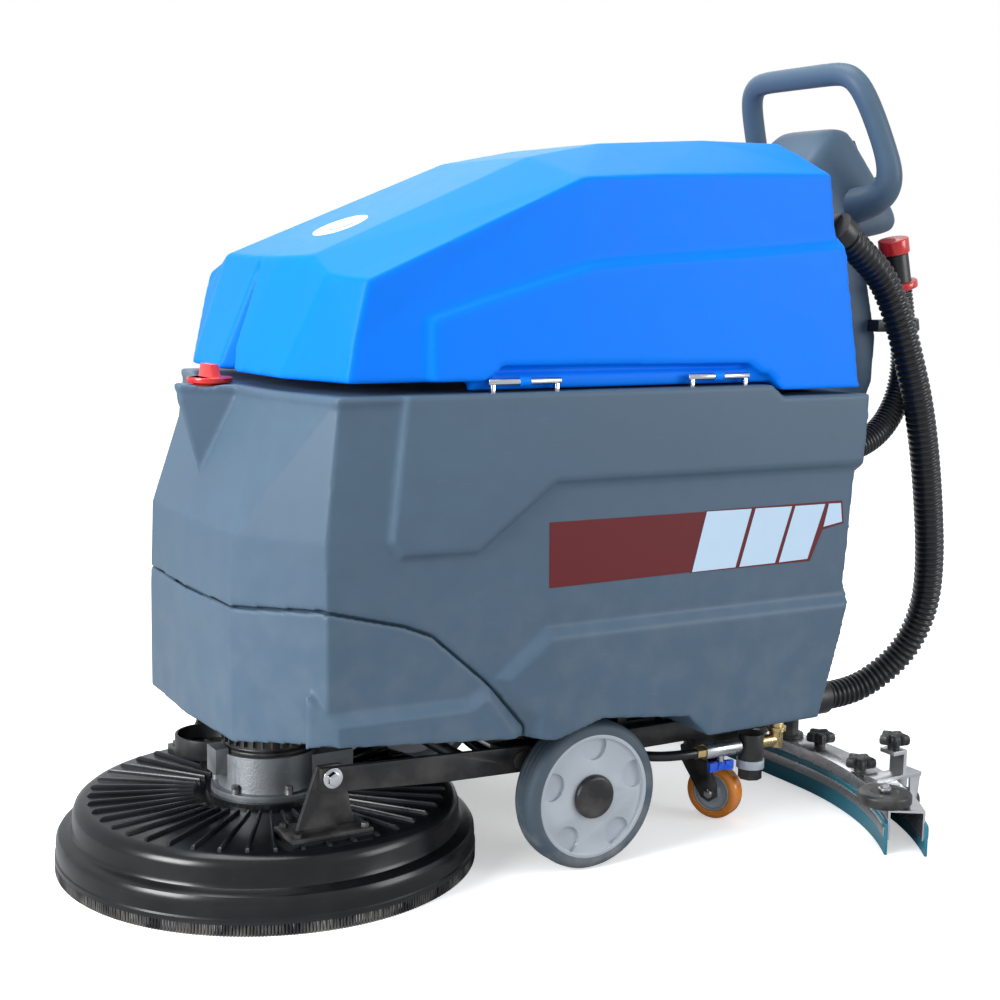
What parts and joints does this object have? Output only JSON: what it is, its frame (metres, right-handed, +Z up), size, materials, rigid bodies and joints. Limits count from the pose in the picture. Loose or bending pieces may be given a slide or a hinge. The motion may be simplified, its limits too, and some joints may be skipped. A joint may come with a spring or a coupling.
{
  "type": "walk-behind floor scrubber",
  "caption": "Battery walk-behind floor scrubber: round brush deck in front, solution and recovery tanks, curved rear squeegee with suction hose, console with loop handle.",
  "frame": {"origin": "on the floor, under the centre of the machine's bounding box without its hoses", "axes": "+X to the rear, towards the operator, so the brush deck leads at -X; +Z up; +Y is the side away from the hoses"},
  "size_m": [1.3877, 0.8766, 1.093],
  "materials": {
    "grey_moulding": "satin rotomoulded polyethylene",
    "blue_moulding": "gloss rotomoulded polyethylene",
    "black_plastic": "satin black",
    "deck_black": "semi-gloss black",
    "black_steel": "powder coat",
    "cast_alloy": "sand cast",
    "zinc_steel": "zinc plated",
    "chrome_steel": "polished",
    "silver_plastic": "painted silver",
    "grey_tyre": "matt grey rubber",
    "orange_tyre": "translucent polyurethane",
    "black_rubber": "matt",
    "teal_rubber": "squeegee rubber",
    "brass_fitting": "cast",
    "red_plastic": "gloss",
    "blue_handle": "gloss",
    "bristle": "nylon bristle",
    "battery_case": "matt",
    "alu_channel": "brushed"
  },
  "bodies": {
    "chassis": {"chassis_frame": "black_steel", "solution_tank": "grey_moulding", "front_skirt": "grey_moulding", "battery_pack": "battery_case", "rear_column": "grey_moulding", "console_head": "grey_moulding", "handle_loop": "grey_moulding", "control_panel": "black_plastic", "vacuum_motor": "black_plastic", "vacuum_port": "black_plastic", "suction_hose": "black_rubber", "drain_hose": "black_rubber", "drain_fitting": "black_plastic", "drain_clip": "black_plastic", "axle": "zinc_steel", "water_fittings": "brass_fitting", "water_hose": "black_rubber", "hinge_rods": "chrome_steel"},
    "tank": {"recovery_tank": "blue_moulding", "float_cage": "black_plastic"},
    "lift": {"lift_arms": "black_steel"},
    "deck": {"deck_cover": "deck_black", "deck_skirt": "bristle", "gear_housing": "cast_alloy", "brush_motor": "black_steel", "water_cup": "black_plastic", "deck_brackets": "black_steel"},
    "brush": {"brush_plate": "black_plastic", "brush_bristles": "bristle"},
    "left_wheel": {"left_tyre": "grey_tyre", "left_hub": "silver_plastic"},
    "right_wheel": {"right_tyre": "grey_tyre", "right_hub": "silver_plastic"},
    "left_caster": {"left_caster_fork": "black_steel"},
    "right_caster": {"right_caster_fork": "black_steel"},
    "left_caster_roller": {"left_caster_wheel": "orange_tyre"},
    "right_caster_roller": {"right_caster_wheel": "orange_tyre"},
    "boom": {"squeegee_boom": "black_steel"},
    "squeegee": {"squeegee_frame": "alu_channel", "squeegee_blades": "teal_rubber", "blade_straps": "zinc_steel", "squeegee_port": "black_plastic"},
    "left_bumper_roller_body": {"left_bumper_roller": "black_rubber"},
    "right_bumper_roller_body": {"right_bumper_roller": "black_rubber"},
    "left_support_wheel_body": {"left_support_wheel": "black_rubber"},
    "right_support_wheel_body": {"right_support_wheel": "black_rubber"},
    "left_arm_knob_body": {"left_arm_knob": "black_plastic"},
    "right_arm_knob_body": {"right_arm_knob": "black_plastic"},
    "left_frame_knob_body": {"left_frame_knob": "black_plastic"},
    "right_frame_knob_body": {"right_frame_knob": "black_plastic"},
    "left_height_knob_body": {"left_height_knob": "black_plastic"},
    "right_height_knob_body": {"right_height_knob": "black_plastic"},
    "filler_cap_body": {"filler_cap": "red_plastic"},
    "drain_cap_body": {"drain_cap": "red_plastic"},
    "valve_handle_body": {"valve_handle": "blue_handle"},
    "key_switch_body": {"key_switch": "black_plastic"},
    "brush_switch_body": {"brush_switch": "black_plastic"},
    "vacuum_switch_body": {"vacuum_switch": "black_plastic"},
    "squeegee_lever_body": {"squeegee_lever": "black_steel"},
    "deck_pedal_body": {"deck_pedal": "black_steel"}
  },
  "joints": [
    {"name": "tank_tilt", "type": "hinge", "parent": "chassis", "child": "tank", "pos_m": [0, -0.262, 0.649], "axis": [1, 0, 0], "range_deg": [0, 85]},
    {"name": "deck_lift", "type": "hinge", "parent": "chassis", "child": "lift", "pos_m": [-0.09, 0, 0.146], "axis": [0, 1, 0], "range_deg": [0, 7]},
    {"name": "deck_level", "type": "hinge", "parent": "lift", "child": "deck", "pos_m": [-0.3625, 0, 0.163], "axis": [0, 1, 0], "range_deg": [-7, 0]},
    {"name": "pedal_press", "type": "hinge", "parent": "chassis", "child": "deck_pedal_body", "pos_m": [0.32, 0.2, 0.146], "axis": [0, 1, 0], "range_deg": [0, 21]},
    {"name": "brush_spin", "type": "hinge", "parent": "deck", "child": "brush", "pos_m": [-0.3625, 0, 0.036], "axis": [0, 0, 1], "continuous": true},
    {"name": "left_wheel_roll", "type": "hinge", "parent": "chassis", "child": "left_wheel", "pos_m": [-0.011, -0.238, 0.1], "axis": [0, 1, 0], "continuous": true},
    {"name": "right_wheel_roll", "type": "hinge", "parent": "chassis", "child": "right_wheel", "pos_m": [-0.011, 0.238, 0.1], "axis": [0, 1, 0], "continuous": true},
    {"name": "left_caster_swivel", "type": "hinge", "parent": "chassis", "child": "left_caster", "pos_m": [0.25, -0.147, 0.1], "axis": [0, 0, 1], "continuous": true},
    {"name": "left_caster_roll", "type": "hinge", "parent": "left_caster", "child": "left_caster_roller", "pos_m": [0.2614, -0.17037, 0.04], "axis": [0.8988, 0.4384, 0], "continuous": true},
    {"name": "right_caster_swivel", "type": "hinge", "parent": "chassis", "child": "right_caster", "pos_m": [0.25, 0.147, 0.1], "axis": [0, 0, 1], "continuous": true},
    {"name": "right_caster_roll", "type": "hinge", "parent": "right_caster", "child": "right_caster_roller", "pos_m": [0.27411, 0.15674, 0.04], "axis": [-0.3746, 0.9272, 0], "continuous": true},
    {"name": "squeegee_lift", "type": "hinge", "parent": "chassis", "child": "boom", "pos_m": [0.3, 0, 0.112], "axis": [0, -1, 0], "range_deg": [0, 8], "deforming": ["suction_hose"]},
    {"name": "squeegee_swing", "type": "hinge", "parent": "boom", "child": "squeegee", "pos_m": [0.44, 0, 0.08], "axis": [0, 0, 1], "range_deg": [-12, 12]},
    {"name": "lever_pull", "type": "hinge", "parent": "chassis", "child": "squeegee_lever_body", "pos_m": [0.616, 0.046, 0.64], "axis": [0, 1, 0], "range_deg": [0, 32]},
    {"name": "left_bumper_roll", "type": "hinge", "parent": "squeegee", "child": "left_bumper_roller_body", "pos_m": [0.391, -0.38, 0.071], "axis": [0, 0, 1], "continuous": true},
    {"name": "left_support_roll", "type": "hinge", "parent": "squeegee", "child": "left_support_wheel_body", "pos_m": [0.519, -0.296, 0.02], "axis": [0, 1, 0], "continuous": true},
    {"name": "left_arm_knob_turn", "type": "hinge", "parent": "squeegee", "child": "left_arm_knob_body", "pos_m": [0.497, -0.13, 0.076], "axis": [0, 0, 1], "continuous": true},
    {"name": "left_frame_knob_turn", "type": "hinge", "parent": "squeegee", "child": "left_frame_knob_body", "pos_m": [0.462, -0.256, 0.076], "axis": [0, 0, 1], "continuous": true},
    {"name": "left_height_knob_turn", "type": "hinge", "parent": "squeegee", "child": "left_height_knob_body", "pos_m": [0.487, -0.296, 0.118], "axis": [0, 0, 1], "continuous": true},
    {"name": "right_bumper_roll", "type": "hinge", "parent": "squeegee", "child": "right_bumper_roller_body", "pos_m": [0.391, 0.38, 0.071], "axis": [0, 0, 1], "continuous": true},
    {"name": "right_support_roll", "type": "hinge", "parent": "squeegee", "child": "right_support_wheel_body", "pos_m": [0.519, 0.296, 0.02], "axis": [0, 1, 0], "continuous": true},
    {"name": "right_arm_knob_turn", "type": "hinge", "parent": "squeegee", "child": "right_arm_knob_body", "pos_m": [0.497, 0.13, 0.076], "axis": [0, 0, 1], "continuous": true},
    {"name": "right_frame_knob_turn", "type": "hinge", "parent": "squeegee", "child": "right_frame_knob_body", "pos_m": [0.462, 0.256, 0.076], "axis": [0, 0, 1], "continuous": true},
    {"name": "right_height_knob_turn", "type": "hinge", "parent": "squeegee", "child": "right_height_knob_body", "pos_m": [0.487, 0.296, 0.118], "axis": [0, 0, 1], "continuous": true},
    {"name": "filler_cap_lift", "type": "slide", "parent": "chassis", "child": "filler_cap_body", "axis": [0, 0, 1], "range_m": [0, 0.025]},
    {"name": "drain_cap_pull", "type": "slide", "parent": "chassis", "child": "drain_cap_body", "axis": [-0.2648, -0.0482, 0.9631], "range_m": [0, 0.015]},
    {"name": "valve_turn", "type": "hinge", "parent": "chassis", "child": "valve_handle_body", "pos_m": [0.236, -0.213, 0.09], "axis": [0, 0, 1], "range_deg": [0, 90]},
    {"name": "key_turn", "type": "hinge", "parent": "chassis", "child": "key_switch_body", "pos_m": [0.61564, -0.046, 0.91182], "axis": [0.8619, 0, 0.507], "range_deg": [0, 60]},
    {"name": "brush_switch_rock", "type": "hinge", "parent": "chassis", "child": "brush_switch_body", "pos_m": [0.61908, -0.008, 0.91385], "axis": [0, 1, 0], "range_deg": [0, 10]},
    {"name": "vacuum_switch_rock", "type": "hinge", "parent": "chassis", "child": "vacuum_switch_body", "pos_m": [0.61908, 0.026, 0.91385], "axis": [0, 1, 0], "range_deg": [0, 10]}
  ],
  "couplings": [
    {"joint": "deck_level", "follows": "deck_lift", "ratio": -1},
    {"joint": "pedal_press", "follows": "deck_lift", "ratio": 3},
    {"joint": "lever_pull", "follows": "squeegee_lift", "ratio": 4}
  ]
}
